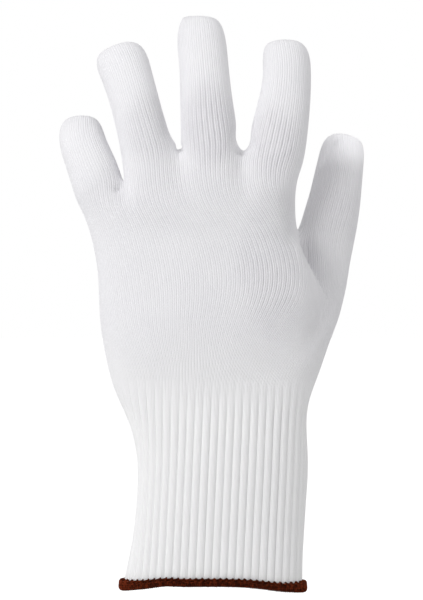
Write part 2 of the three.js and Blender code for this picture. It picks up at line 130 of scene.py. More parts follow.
def outer_skin(number, node):
    skin = add_to_scene("skin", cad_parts[node].data.copy())
    mark = skin.data.attributes.new("piece", "INT", "FACE")
    mark.data.foreach_set("value", [number] * len(skin.data.polygons))
    select_only(skin)
    bpy.ops.mesh.customdata_custom_splitnormals_clear()
    edit(skin, "FACE")
    bpy.ops.mesh.select_all(action="SELECT")
    bpy.ops.mesh.remove_doubles(threshold=SAME_POINT)
    bpy.ops.mesh.select_all(action="DESELECT")
    net = bmesh.from_edit_mesh(skin.data)
    for face in net.faces:
        face.select_set(any(abs(e.calc_length() - WALL) < SAME_POINT for e in face.edges))
    bmesh.update_edit_mesh(skin.data)
    bpy.ops.mesh.delete(type="FACE")
    bpy.ops.mesh.separate(type="LOOSE")
    bpy.ops.object.mode_set(mode="OBJECT")
    *inner, outer = sorted(bpy.context.selected_objects, key=surface_area)
    for obj in inner:
        bpy.data.objects.remove(obj)
    print(node, "outer skin:", len(outer.data.polygons), "triangles")
    return outer


skins = [outer_skin(number, node) for number, node in enumerate(KNITTED)]

# %% [markdown]
# ## One net
# On the real glove the yarn runs on from the cuff into the palm and from the palm into the
# fingers. The skins are joined, and the points along their open edges, which stand a third of a
# millimetre apart, are merged. The only open edge that is left is the one that the hem covers.

# %% Join the skins
BORDER_GAP = 0.00035

select_only(*skins)
bpy.ops.object.join()
glove_net = bpy.context.object
glove_net.name = "glove_net"
net = edit(glove_net, "VERT")
for point in net.verts:
    point.select_set(point.is_boundary)
bmesh.update_edit_mesh(glove_net.data)
bpy.ops.mesh.remove_doubles(threshold=BORDER_GAP)
net = bmesh.from_edit_mesh(glove_net.data)
hem_edges = [edge for edge in net.edges if edge.is_boundary]
print("open edges at the hem:", len(hem_edges))

# %% [markdown]
# ## Follow the wales
# A wale is one column of loops, and a course is one row of them. The net's squares follow both,
# but each square came cut in two. Starting at the hem, a strip of squares is followed upwards:
# in over a course edge, across the slanting cut, out over the next course edge, and so on over
# the fingertip and down the palm. That tells the three kinds of edge apart, so the cuts can be
# dissolved and the squares are back. At the two ends of each fingertip's closing line is one
# true triangle, and it is found by the four faces around its tip.

# %% Sort the edges
COURSE, WALE, CUT = "course", "wale", "cut"
kinds = {}
seen = set()


def mark_square(loop):
    """Marks the square that lies ahead of a course edge. Returns the next loop up, or None."""
    cut = loop.link_loop_prev
    other = cut.link_loop_radial_next
    if loop.face in seen or other.face in seen:
        return None
    seen.update((loop.face, other.face))
    kinds[loop.edge] = COURSE
    kinds[loop.link_loop_next.edge] = WALE
    kinds[cut.edge] = CUT
    kinds[other.link_loop_next.edge] = COURSE
    kinds[other.link_loop_prev.edge] = WALE
    out = other.link_loop_next
    return None if out.edge.is_boundary else out.link_loop_radial_next


left_point = min((v for e in hem_edges for v in e.verts), key=lambda v: v.co.x)
right_point = max((v for e in hem_edges for v in e.verts), key=lambda v: v.co.x)
for edge in hem_edges:
    if left_point in edge.verts or right_point in edge.verts:
        continue
    loop = edge.link_loops[0]
    while loop is not None:
        loop = mark_square(loop)
print("faces on the front and palm strips:", len(seen))

true_triangles = set()
for point in net.verts:
    if point.is_boundary or len(point.link_faces) != 4:
        continue
    for loop in point.link_loops:
        after = loop.link_loop_prev.link_loop_radial_next
        if all(kinds.get(x.link_loop_next.edge) == WALE for x in (loop, after)):
            true_triangles.add(loop.face)
seen.update(true_triangles)
print("true triangles at the fingertips:", len(true_triangles))


def settle(faces, try_face):
    """Tries each face again and again until no more succeed. Returns the faces that are left."""
    while True:
        left_over = [face for face in faces if not try_face(face)]
        if len(left_over) == len(faces):
            return faces
        faces = left_over


def mark_from_side(face):
    if face in seen:
        return True
    for loop in face.loops:
        if kinds.get(loop.edge) == WALE:
            mark_square(loop.link_loop_prev)
            return True
    return False


waiting = settle(list(net.faces), mark_from_side)
print("faces in no square:", len(waiting))

# %% Dissolve the cuts
for edge in net.edges:
    edge.select_set(False)
for edge, kind in kinds.items():
    edge.select_set(kind == CUT)
bmesh.update_edit_mesh(glove_net.data)
bpy.ops.mesh.select_mode(type="EDGE")
bpy.ops.mesh.dissolve_edges(use_verts=False)
net = bmesh.from_edit_mesh(glove_net.data)
print("squares:", sum(len(face.verts) == 4 for face in net.faces),
      "other faces:", sum(len(face.verts) != 4 for face in net.faces))
bpy.ops.object.mode_set(mode="OBJECT")

# %% [markdown]
# ## A map of the knit
# The stitches have to run along the wales wherever they turn, so the net gets a UV map of its
# own: U counts wales and V counts courses. The same walk gives it. All strips start at the hem
# together and climb one square at a time, and a strip that starts in the web between two fingers
# takes its numbers from the strip beside it. A course is as tall as a course is, so V grows by
# the mean height of each row of squares.

# %% Number the squares
WALES_A_SQUARE = 2
COURSE_HEIGHT = 0.00125

net = bmesh.new()
net.from_mesh(glove_net.data)
knit_map = net.loops.layers.uv.new("knit_map")
corners = {}


def number_square(loop, column, row):
    """Gives a square's corners their (column, row), from the loop on its lower course edge."""
    steps = ((0, 0), (1, 0), (1, 1), (0, 1))
    for right, up in steps:
        corners[loop] = (column + right, row + up)
        loop = loop.link_loop_next


hem_loops = [edge.link_loops[0] for edge in net.edges if edge.is_boundary]
climbing = []
start = hem_loops[0]
by_point = {loop.vert: loop for loop in hem_loops}
loop = start
for column in range(len(hem_loops)):
    climbing.append((loop, column))
    loop = by_point[loop.link_loop_next.vert]
row = 0
while climbing:
    above = []
    for loop, column in climbing:
        if loop in corners or len(loop.face.verts) != 4:
            continue
        number_square(loop, column, row)
        top = loop.link_loop_next.link_loop_next
        above.append((top.link_loop_radial_next, column))
    climbing = above
    row += 1
print("rows of squares from the hem to the fingertips:", row)


def number_from_beside(face):
    for loop in face.loops:
        beside = loop.link_loop_radial_next
        if beside not in corners or len(face.verts) != 4:
            continue
        (column, here), (_, there) = corners[beside.link_loop_next], corners[beside]
        if here == there:
            continue
        if there > here:
            number_square(loop.link_loop_prev, column - 1, here)
        else:
            number_square(loop.link_loop_next, column, there)
        return True
    return False


waiting = settle([face for face in net.faces if face.loops[0] not in corners], number_from_beside)
for face in waiting:
    for loop in face.loops:
        beside = loop.link_loop_radial_next
        if beside in corners:
            column, here = corners[beside]
            number_square(loop, column - 1, here)
            break
print("faces numbered last, at the fingertips:", len(waiting),
      "still without numbers:", sum(face.loops[0] not in corners for face in net.faces))

# %% Heights of the rows
CLOSING_LINE = 0.006

rows_at = {}
for loop, (column, row) in corners.items():
    rows_at[loop.vert] = min(row, rows_at.get(loop.vert, row))
ring_of = {}
for point in net.verts:
    if point in ring_of:
        continue
    ring_of[point] = point
    growing = [point]
    while growing:
        current = growing.pop()
        for edge in current.link_edges:
            other = edge.other_vert(current)
            if other not in ring_of and rows_at[other] == rows_at[current]:
                ring_of[other] = point
                growing.append(other)
rises = {}
for point in net.verts:
    for edge in point.link_edges:
        other = edge.other_vert(point)
        if rows_at[other] == rows_at[point] - 1:
            rises.setdefault(ring_of[point], []).append((ring_of[other], edge.calc_length()))
heights = {}
for ring in sorted(set(ring_of.values()), key=lambda point: rows_at[point]):
    below = rises.get(ring, [])
    heights[ring] = sum(heights[low] + length for low, length in below) / max(len(below), 1)
print("course rings:", len(heights), "tallest in mm:", round(max(heights.values()) * 1000, 1))

# %% [markdown]
# ## Straight ribs
# In the net, the columns of squares spread out with the outline, so they lean where the cuff
# widens into the hand. The real ribs hang straight and stay narrow, and it is the palm side that
# stretches. So each ring of points from the hem to the heel of the hand slides around itself: one
# column is set on an upright line on the back of the hand, its neighbours close up to the rib's
# pitch, and the slack goes to the palm. Higher up the slide fades out.

# %% Slide the rings
UPRIGHT_COLUMN = 51
UPRIGHT_X, UPRIGHT_LEAN, FAN_LEAN = 0.005, 0.045, 0.22
FAN_START, FAN_END = 0.095, 0.150
RIB_WALE, HAND_WALE = 0.0012, 0.0021
LAST_FULL_RING, FIRST_STILL_RING = 7, 13
columns_around = len(hem_loops)


def slide_ring(row):
    members = {column % columns_around: loop.vert
               for loop, (column, at) in corners.items() if at == row}
    ring = [members[column] for column in range(columns_around)]
    places = np.array([point.co for point in ring])
    closed = np.vstack([places, places[:1]])
    along = np.concatenate([[0], np.cumsum(np.linalg.norm(np.diff(closed, axis=0), axis=1))])
    length = along[-1]
    level = places[:, 2].mean()
    upright = (UPRIGHT_X - UPRIGHT_LEAN * max(FAN_START - level, 0)
               + FAN_LEAN * max(level - FAN_START, 0))
    for k in range(columns_around):
        (x0, y0), (x1, y1) = closed[k, :2], closed[k + 1, :2]
        if y0 + y1 < 0 and x0 <= upright < x1:
            anchor = along[k] + (along[k + 1] - along[k]) * (upright - x0) / (x1 - x0)
    share = min(max((level - FAN_START) / (FAN_END - FAN_START), 0), 1)
    pitch = (RIB_WALE + (HAND_WALE - RIB_WALE) * share) * WALES_A_SQUARE
    slack = 1 - pitch * columns_around / length
    part = (np.arange(columns_around) - UPRIGHT_COLUMN) / columns_around
    wanted = anchor + length * (part - slack * np.sin(2 * np.pi * part) / (2 * np.pi))
    shift = (wanted - along[:-1] + length / 2) % length - length / 2
    hold = (FIRST_STILL_RING - row) / (FIRST_STILL_RING - LAST_FULL_RING)
    moved = along[:-1] + shift * min(hold, 1)
    for axis in range(3):
        for point, value in zip(ring, np.interp(moved, along, closed[:, axis], period=length)):
            point.co[axis] = value
    return shift[UPRIGHT_COLUMN] * min(hold, 1)


slides = [slide_ring(row) for row in range(FIRST_STILL_RING)]
hem_line = [tuple(loop.vert.co) for loop in sorted(hem_loops, key=corners.get)]
print("slides at the upright column in mm:", [round(slide * 1000, 1) for slide in slides])

# %% Write the map
for loop, (column, row) in corners.items():
    height = heights[ring_of[loop.vert]] + (row - rows_at[loop.vert]) * CLOSING_LINE
    loop[knit_map].uv = (column * WALES_A_SQUARE, height / COURSE_HEIGHT)
print("courses to the tallest fingertip:", round(max(heights.values()) / COURSE_HEIGHT))
net.to_mesh(glove_net.data)
net.free()

# %% [markdown]
# ## Round the net
# Subdivision rounds the net as a sculptor rounds a blocked-out form: two levels of Catmull-Clark,
# applied. It also pulls every bulge in a little, and the fingertips most. So it runs once on a
# copy, and the net is first pushed out by most of what the trial took away, but never so far that
# the fingertips' corners stay square.

# %% Subdivide
NET_LEVELS = 2
FILL_OUT = 0.7
MOST_OUT = 0.0006


def read(collection, name, width):
    """A property of every element of a collection, as an array with a row for each."""
    values = np.zeros(len(collection) * width)
    collection.foreach_get(name, values)
    return values.reshape(-1, width) if width > 1 else values


def duplicate(obj):
    """A copy of an object, with a mesh of its own."""
    twin = obj.copy()
    twin.data = obj.data.copy()
    bpy.context.scene.collection.objects.link(twin)
    return twin


def apply_modifier(obj, name, kind, **settings):
    select_only(obj)
    modifier = obj.modifiers.new(name, kind)
    for setting, value in settings.items():
        setattr(modifier, setting, value)
    bpy.ops.object.modifier_apply(modifier=name)


def round_off(obj):
    apply_modifier(obj, "rounding", "SUBSURF", levels=NET_LEVELS, render_levels=NET_LEVELS,
                   uv_smooth="NONE")


trial = duplicate(glove_net)
round_off(trial)
blocked_out = read(glove_net.data.vertices, "co", 3)
pulled_in = blocked_out - read(trial.data.vertices, "co", 3)[:len(blocked_out)]
bpy.data.objects.remove(trial)
how_far = np.linalg.norm(pulled_in, axis=1)
share = np.minimum(FILL_OUT, MOST_OUT / np.maximum(how_far, MOST_OUT))
glove_net.data.vertices.foreach_set("co", (blocked_out + share[:, None] * pulled_in).ravel())
round_off(glove_net)
print("pulled in, mm:", [round(np.percentile(how_far, p) * 1000, 2) for p in (50, 90, 98, 100)])

# %% [markdown]
# ## Round the fingertips
# The last courses of a finger are drawn together to a line across its tip, and the ends of that
# line would stick out as corners. In a worn glove the fingertip presses them round. So the last
# few millimetres of each finger, found by their height in the knit map, are evened out with the
# smoothing operator, which pulls a corner in much more than a round tube.

# %% Round the fingertips
TIP_LENGTH, TIP_PASSES = 0.0100, 36

net = edit(glove_net, "VERT")
knit_map = net.loops.layers.uv.verify()
mark = net.faces.layers.int["piece"]
for number, node in enumerate(KNITTED):
    if not node.endswith("_stall"):
        continue
    rows = {loop: loop[knit_map].uv.y for face in net.faces if face[mark] == number
            for loop in face.loops}
    tip_starts = max(rows.values()) - TIP_LENGTH / COURSE_HEIGHT
    for loop, row in rows.items():
        if row > tip_starts:
            loop.vert.select_set(True)
bmesh.update_edit_mesh(glove_net.data)
bpy.ops.mesh.vertices_smooth(factor=0.5, repeat=TIP_PASSES)
bpy.ops.object.mode_set(mode="OBJECT")
print("points at the fingertips:", sum(point.select for point in glove_net.data.vertices))

# %% [markdown]
# ## Finer across the wales
# Each square is cut twice more across its width only, because the ridges that come next run up
# the wales: six points across a wale show its round back and the groove beside it.

# %% Cut across the wales
CUTS_ACROSS = 2
COURSE_SLANT = 1.3

net = edit(glove_net, "EDGE")
knit_map = net.loops.layers.uv.verify()
for edge in net.edges:
    loop = edge.link_loops[0]
    step = loop.link_loop_next[knit_map].uv - loop[knit_map].uv
    edge.select_set(abs(step.x) * COURSE_SLANT > abs(step.y))
bmesh.update_edit_mesh(glove_net.data)
bpy.ops.mesh.subdivide(number_cuts=CUTS_ACROSS, smoothness=0, quadcorner="INNERVERT")
bpy.ops.object.mode_set(mode="OBJECT")
print("net:", len(glove_net.data.vertices), "points,", len(glove_net.data.polygons), "faces,",
      "largest face:", max(len(face.vertices) for face in glove_net.data.polygons), "corners")

# %% [markdown]
# ## Relief
# Each loop of a wale leans into the next, so a wale stands up as a small round ridge. The cuff is
# knitted as a rib: wide ridges with narrow valleys, about fifty around, which fade out in the
# heel of the hand. Over these run slow waves, because a worn knit is never quite even. All of it
# is worked out as one height for each point, and the points then move by it along their normals.
# A brush in sculpt mode could raise it too, but numbers stay even over hundreds of wales. Before
# that, the web between the thumb and the hand is lowered a little: the CAD net bridges it.

# %% Read the net
THUMB_WEB = (0.0386, 0.1655)
WEB_DROP, WEB_REACH = 0.0042, 0.0080

net_mesh = glove_net.data
base = read(net_mesh.vertices, "co", 3)
away = np.hypot(base[:, 0] - THUMB_WEB[0], base[:, 2] - THUMB_WEB[1]) / WEB_REACH
base[:, 2] -= WEB_DROP * np.exp(-away ** 2)
net_mesh.vertices.foreach_set("co", base.ravel())
net_mesh.update()
print("web lowered by", WEB_DROP * 1000, "mm")
base_normals = read(net_mesh.vertex_normals, "vector", 3)
wale = np.zeros(len(base))
wale[read(net_mesh.loops, "vertex_index", 1).astype(int)] = (
    read(net_mesh.uv_layers["knit_map"].uv, "vector", 2)[:, 0])
x, z = base[:, 0], base[:, 2]


def slow_noise(size, seed):
    """Smooth noise from -1 to 1, with bumps about as wide as size."""
    offset = Vector((seed, seed * 0.7, seed * 1.3))
    return np.array([noise.noise(Vector(point) / size + offset) for point in base])


def fade(values, start, end):
    """0 before start, 1 after end, and smooth between them. It runs down if start is above end."""
    share = np.clip((values - start) / (end - start), 0, 1)
    return share * share * (3 - 2 * share)


# %% [markdown]
# ## Stretched knit, and painted shade
# Over the roots of the fingers the glove is pulled wide, so the wales part and dark lines show
# between them, and at the fingertips it is slack and looks almost smooth. A short table gives
# the places, and also places of shade: the palm's right side and the thumb's web. The result is
# kept as an attribute, which the white finish reads as well: there it darkens the colour, partly
# for the open knit and partly as painted shade.

# %% Where the knit is stretched, and where shade is painted
# The rows for the thumb's web and the palm's right side mark painted shade more than stretch.
STRETCHED_AND_SHADED = (
    # x, z, reach in x, reach in z, strength
    (-0.0275, 0.2080, 0.0110, 0.0170, 1.0),
    (-0.0015, 0.2090, 0.0120, 0.0190, 1.4),
    (0.0265, 0.2010, 0.0120, 0.0160, 1.0),
    (0.0430, 0.1520, 0.0060, 0.0080, 0.6),
    (-0.0150, 0.1780, 0.0420, 0.0160, 0.4),
    (0.0270, 0.1520, 0.0160, 0.0320, 0.7),
    (0.0550, 0.1780, 0.0120, 0.0220, 0.6),
)
# How far a normal points backwards: 0 is sideways, and -1 is straight at the camera.
SIDEWAYS, FORWARDS = 0.0, -0.4

facing_front = fade(base_normals[:, 1], SIDEWAYS, FORWARDS)
stretch_and_shade = np.zeros(len(base))
for place_x, place_z, reach_x, reach_z, strength in STRETCHED_AND_SHADED:
    away = ((x - place_x) / reach_x) ** 2 + ((z - place_z) / reach_z) ** 2
    stretch_and_shade = np.maximum(stretch_and_shade, strength * np.exp(-away ** 2) * facing_front)
print("stretched points:", round(100 * (stretch_and_shade > 0.2).mean()), "percent")

# %% Wales and ribs
WALE_RELIEF, LEG_RELIEF = 0.000075, 0.00005
WALE_ROUND, WALE_LEVEL = 0.7, 0.6
STRETCHED_MORE = 3.2
GRAIN_SIZE, GRAIN_SEED, GRAIN = 0.0020, 11.0, 0.9
RIBS = 50
RIB_RELIEF, RIB_ROUND, RIB_LEVEL = 0.0010, 0.6, 0.75
RIB_TOP, RIB_FULL = 0.099, 0.074
RIB_CALMS = 0.5
CUFF_END, CUFF_CLEAR = 0.003, 0.007

wales_around = columns_around * WALES_A_SQUARE
rib_share = fade(z, RIB_TOP, RIB_FULL) * fade(z, CUFF_END, CUFF_CLEAR)
calmed = 1 - RIB_CALMS * rib_share
ridge = WALE_RELIEF * (np.abs(np.sin(np.pi * wale)) ** WALE_ROUND - WALE_LEVEL)
ridge += LEG_RELIEF * (np.abs(np.sin(2 * np.pi * wale)) - WALE_LEVEL)
ridge *= (1 + GRAIN * slow_noise(GRAIN_SIZE, GRAIN_SEED)) * (1 + STRETCHED_MORE * stretch_and_shade)
rib = np.abs(np.sin(np.pi * wale * RIBS / wales_around)) ** RIB_ROUND - RIB_LEVEL
texture = ridge * calmed + RIB_RELIEF * rib * rib_share
print("wales around:", wales_around, "ribs around:", RIBS)

# %% [markdown]
# ## Waves and webs
# Where two fingers part, the knit is drawn in, so each web ends in a small dimple, and the
# fingers' flanks beside it are drawn in with it. Like the slow waves, these are folds of the
# whole wall, not of its surface, so they are kept apart from the texture and the inner side
# follows them as well.

# %% Waves and dimples
WAVE_RELIEF, WAVE_SIZE, WAVE_SEED = 0.0005, 0.022, 3.0
WEB_DIMPLES = (
    # x, z, reach in x, reach in z, depth
    (-0.0423, 0.1808, 0.0022, 0.0012, 0.0016),
    (-0.0150, 0.1990, 0.0015, 0.0015, 0.0024),
    (0.0131, 0.1977, 0.0025, 0.0011, 0.0022),
)
FLANKS = (
    # x, z, reach, depth, side (1 for a finger's right flank, -1 for its left)
    (0.0118, 0.2030, 0.0055, 0.0017, 1),
    (-0.0205, 0.2050, 0.0050, 0.0006, 1),
    (0.0170, 0.2015, 0.0042, 0.0012, -1),
)

BACKWARDS, NEARLY_SIDEWAYS = 0.5, 0.1

in_front = fade(base_normals[:, 1], BACKWARDS, NEARLY_SIDEWAYS)
form = WAVE_RELIEF * slow_noise(WAVE_SIZE, WAVE_SEED) * calmed
for place_x, place_z, reach_x, reach_z, depth in WEB_DIMPLES:
    away = ((x - place_x) / reach_x) ** 2 + ((z - place_z) / reach_z) ** 2
    form -= depth * np.exp(-away) * in_front
for place_x, place_z, reach, depth, side in FLANKS:
    away = np.hypot(x - place_x, z - place_z) / reach
    form -= depth * np.exp(-away ** 2) * np.clip(side * base_normals[:, 0], 0, 1)
print("dimples:", len(WEB_DIMPLES), "drawn-in flanks:", len(FLANKS))

# %% [markdown]
# ## Crease beside the thumb
# At the thumb's root the hand's edge folds over the thumb's: a raised rim, and beside it a
# sharp step down that runs out slowly. The fold is a line through a few places, and the step
# depends on how far a point lies beside that line. From its upper end small pleats fan out,
# where the knit is gathered. A cloth simulation would fold somewhere else each time, so the
# photographed folds are listed.

# %% Crease beside the thumb
CREASE = ((0.0550, 0.1260), (0.0494, 0.1360), (0.0474, 0.1398), (0.0443, 0.1450),
          (0.0409, 0.1510), (0.0396, 0.1539), (0.0384, 0.1618), (0.0376, 0.1700))
CREASE_DEPTH, CREASE_STEP, CREASE_REACH = 0.0034, 0.0009, 0.0034
RIM_HEIGHT, RIM_WIDTH = 0.0008, 0.0018
CREASE_FOOT, CREASE_DEEP, CREASE_EASE, CREASE_TOP = 0.122, 0.148, 0.154, 0.164

crease_x, crease_z = np.array(CREASE).T
beside = x - np.interp(z, crease_z, crease_x)
fold = fade(z, CREASE_FOOT, CREASE_DEEP) * fade(z, CREASE_TOP, CREASE_EASE)
fold *= in_front
beyond = np.maximum(beside - CREASE_STEP, 0)
form -= CREASE_DEPTH * fold * fade(beside, 0, CREASE_STEP) * np.exp(-beyond / CREASE_REACH)
form += RIM_HEIGHT * fold * np.exp(-((beside + RIM_WIDTH) / RIM_WIDTH) ** 2)
print("crease:", round(CREASE_DEPTH * 1000, 1), "mm deep")

# %% Pleats that fan out of the crease
PLEATS_FROM_X, PLEATS_FROM_Z = 0.0392, 0.1510
PLEAT_DEPTH, PLEAT_REACH, PLEATS = 0.0005, 0.0070, 22
PLEAT_START, PLEAT_FULL = 0.1, 0.4

turn = np.arctan2(z - PLEATS_FROM_Z, x - PLEATS_FROM_X)
away = np.hypot(z - PLEATS_FROM_Z, x - PLEATS_FROM_X) / PLEAT_REACH
pleat = (np.sin(PLEATS * turn) - 1) * np.exp(-away ** 2) * fade(away, PLEAT_START, PLEAT_FULL)
form += PLEAT_DEPTH * pleat * fade(beside, 0, CREASE_STEP) * facing_front
print("pleats in a full turn:", PLEATS)

# %% [markdown]
# ## Fold at the thumb's tip
# The last courses close the thumb in a rounded cap, and a shallow fold curves beside it, where
# the tube is a little too wide for the thumb in it. It is a groove along a line, like the
# crease, but the same on both sides.

# %% Fold at the thumb's tip
TIP_FOLD = ((0.0495, 0.1920), (0.0508, 0.1955), (0.0523, 0.1987), (0.0545, 0.2015),
            (0.0578, 0.2045))
TIP_FOLD_DEPTH, TIP_FOLD_WIDTH = 0.0013, 0.0012
TIP_FOLD_END = 0.2055

fold_x, fold_z = np.array(TIP_FOLD).T
beside_fold = x - np.interp(z, fold_z, fold_x)
tip_fold = fade(z, fold_z[0], fold_z[1]) * fade(z, TIP_FOLD_END, fold_z[-2]) * in_front
form -= TIP_FOLD_DEPTH * tip_fold * np.exp(-(beside_fold / TIP_FOLD_WIDTH) ** 2)
print("tip fold", TIP_FOLD_DEPTH * 1000, "mm deep")

# %% Raise the relief
net_mesh.vertices.foreach_set("co", (base + base_normals * (form + texture)[:, None]).ravel())
net_mesh.update()
for name, heights in (("texture", texture), ("form", form)):
    print(name, "in mm:", round(heights.min() * 1000, 2), "to", round(heights.max() * 1000, 2))

# %% [markdown]
# ## From one net to closed pieces
# The pieces stay as the CAD names them, so that each can be repainted or swapped. Before they
# part, each point writes down where the smooth net was and which way it faced: the first gives
# every piece a smooth inner wall, and the second keeps the light running over the borders as if
# nothing had been cut.

# %% Remember the smooth net
def remember(name, values):
    layer = net_mesh.attributes.new(name, "FLOAT_VECTOR", "POINT")
    layer.data.foreach_set("vector", values.ravel())


INNER_DEPTH = 0.0011
remember("inner_place", base + base_normals * (form - INNER_DEPTH)[:, None])
remember("inner_facing", -base_normals)
remember("outer_facing", read(net_mesh.vertex_normals, "vector", 3))
# The mask goes on to the white finish, where it darkens the colour: partly the open knit, partly
# painted shade.
net_mesh.attributes.new("stretch_and_shade", "FLOAT", "POINT").data.foreach_set("value", stretch_and_shade)
print("attributes that stay with the pieces:", [layer.name for layer in net_mesh.attributes])

# %% Part the pieces
def part_off(number):
    """Takes the faces with this piece's number off the net, as an object of their own."""
    piece = duplicate(glove_net)
    piece.name = KNITTED[number] + "_knit"
    piece.data.name = piece.name
    part = edit(piece, "FACE")
    mark = part.faces.layers.int["piece"]
    for face in part.faces:
        face.select_set(face[mark] != number)
    bmesh.update_edit_mesh(piece.data)
    bpy.ops.mesh.delete(type="FACE")
    bpy.ops.object.mode_set(mode="OBJECT")
    return piece


def give_wall(piece):
    """Solidify makes the second skin and the rim. The skin then moves to the smooth inner wall."""
    outside = len(piece.data.vertices)
    apply_modifier(piece, "wall", "SOLIDIFY", thickness=INNER_DEPTH, offset=-1)
    mesh = piece.data
    places = read(mesh.vertices, "co", 3)
    facing = read(mesh.attributes["outer_facing"].data, "vector", 3)
    places[outside:] = read(mesh.attributes["inner_place"].data, "vector", 3)[outside:]
    facing[outside:] = read(mesh.attributes["inner_facing"].data, "vector", 3)[outside:]
    mesh.vertices.foreach_set("co", places.ravel())
    for name in ("inner_place", "inner_facing", "outer_facing", "piece"):
        mesh.attributes.remove(mesh.attributes[name])
    bpy.ops.object.shade_smooth()
    mesh.normals_split_custom_set_from_vertices(facing)
    mesh.update()
    return piece


knit_pieces = [give_wall(part_off(number)) for number in range(len(KNITTED))]
for piece in knit_pieces:
    print(piece.name, sum(len(face.vertices) - 2 for face in piece.data.polygons), "triangles")

# %% [markdown]
# ## Stitches in the finish
# Closer than a wale there is the stitch itself. On the face of a plain knit each loop shows as a
# V: two short legs of yarn that meet at the bottom. One node group draws their height from the
# knit map, and the same height says where the grooves are. A second group draws the loose fibres
# and the patches that every yarn has, so the white knit and the brown thread share it.

# %% Helpers for nodes
def fill(tree, node, values):
    """Sets a node's inputs, by name or number, or links them where the value is a socket."""
    for key, value in values.items():
        if isinstance(value, bpy.types.NodeSocket):
            tree.links.new(value, node.inputs[key])
        else:
            node.inputs[key].default_value = value
    return node


def add_node(tree, kind, values=None, **settings):
    """Adds a node, sets its properties and fills its inputs."""
    node = tree.nodes.new(kind)
    for name, value in settings.items():
        setattr(node, name, value)
    return fill(tree, node, values or {})


def maths(tree, operation, first, second=0.0, third=0.0):
    values = {0: first, 1: second, 2: third}
    return add_node(tree, "ShaderNodeMath", values, operation=operation).outputs[0]


def new_group(name, inputs, outputs):
    """A shader node group with named sockets: inputs maps a name to (socket type, value)."""
    group = bpy.data.node_groups.new(name, "ShaderNodeTree")
    for socket_name, (kind, value) in inputs.items():
        socket = group.interface.new_socket(socket_name, in_out="INPUT", socket_type=kind)
        if value is not None:
            socket.default_value = value
    for socket_name, kind in outputs.items():
        group.interface.new_socket(socket_name, in_out="OUTPUT", socket_type=kind)
    entry = group.nodes.new("NodeGroupInput")
    leave = group.nodes.new("NodeGroupOutput")
    return group, entry.outputs, leave


# %% Node group: knit stitches
FLOAT, VECTOR = "NodeSocketFloat", "NodeSocketVector"
WAVE_SCALE = 0.35
LEG_ROUND, BEAD_ROUND, BEAD_SHARE = 0.7, 0.6, 0.55

stitches, given, leave = new_group(
    "knit_stitches",
    {"Knit Map": (VECTOR, None), "Lean": (FLOAT, 2.0), "Waviness": (FLOAT, 0.12)},
    {"Height": FLOAT, "Groove": FLOAT})
waves = add_node(stitches, "ShaderNodeTexNoise",
                 {"Vector": given["Knit Map"], "Scale": WAVE_SCALE, "Detail": 2.0})
off_centre = maths(stitches, "SUBTRACT", waves.outputs["Fac"], 0.5)
shift = maths(stitches, "MULTIPLY", off_centre, given["Waviness"])
split = add_node(stitches, "ShaderNodeSeparateXYZ", {"Vector": given["Knit Map"]})
across = maths(stitches, "ADD", split.outputs["X"], shift)
within = maths(stitches, "FRACT", across)
from_middle = maths(stitches, "ABSOLUTE", maths(stitches, "SUBTRACT", within, 0.5))
leg_turn = maths(stitches, "MULTIPLY", from_middle, 2 * math.pi)
leg = maths(stitches, "SINE", leg_turn)
climb = maths(stitches, "MULTIPLY_ADD", from_middle, given["Lean"], split.outputs["Y"])
loop_turn = maths(stitches, "MULTIPLY", climb, math.pi)
bead = maths(stitches, "ABSOLUTE", maths(stitches, "SINE", loop_turn))
bead = maths(stitches, "POWER", bead, BEAD_ROUND)
bead = maths(stitches, "MULTIPLY_ADD", bead, BEAD_SHARE, 1 - BEAD_SHARE)
height = maths(stitches, "MULTIPLY", maths(stitches, "POWER", leg, LEG_ROUND), bead)
fill(stitches, leave, {"Height": height, "Groove": maths(stitches, "SUBTRACT", 1.0, height)})
print("nodes in the stitch group:", len(stitches.nodes))

# %% Node group: yarn fibres
fibres, given, leave = new_group(
    "yarn_fibres",
    {"Place": (VECTOR, None), "Fuzz Scale": (FLOAT, 3000.0), "Patch Scale": (FLOAT, 90.0)},
    {"Fuzz": FLOAT, "Patch": FLOAT})
fuzz = add_node(fibres, "ShaderNodeTexNoise",
                {"Vector": given["Place"], "Scale": given["Fuzz Scale"], "Detail": 4.0,
                 "Roughness": 0.65, "Distortion": 0.8})
patch = add_node(fibres, "ShaderNodeTexNoise",
                 {"Vector": given["Place"], "Scale": given["Patch Scale"], "Detail": 3.0})
fill(fibres, leave, {"Fuzz": fuzz.outputs["Fac"], "Patch": patch.outputs["Fac"]})
print("node groups:", [group.name for group in bpy.data.node_groups])

# %% [markdown]
# ## White yarn
# Acrylic yarn is matt, with a soft sheen at grazing angles from its loose fibres. Its white is
# nearly even. It is painted a little darker down in the grooves, as painted shade, and where the
# knit is stretched over the knuckles, partly for the open knit and partly as painted shade. The
# rib is painted whiter, a painted brightening where the cuff gets less light, and the change from
# one to the other runs over a few centimetres of height: both materials share it, so no line
# shows where the pieces meet.

# %% Materials for the white knit
# The rib's colours are painted lighter than the knit's: a painted brightening where the cuff gets
# less light.
KNIT_WHITE, RIB_WHITE_PAINTED_LIGHTER = (0.848, 0.846, 0.870, 1.0), (0.915, 0.915, 0.922, 1.0)
KNIT_WARM, RIB_WARM_PAINTED_LIGHTER = (0.852, 0.846, 0.856, 1.0), (0.920, 0.915, 0.913, 1.0)
# The groove colours are painted shade, mixed in where the grooves are.
KNIT_GROOVE_SHADE, RIB_GROOVE_SHADE = (0.66, 0.650, 0.685, 1.0), (0.735, 0.735, 0.745, 1.0)
RIB_STARTS, RIB_COLOUR = 0.125, 0.070
KNIT_STITCH_DEPTH, RIB_STITCH_DEPTH = 0.00015, 0.00013
FUZZ_DEPTH = 0.00003
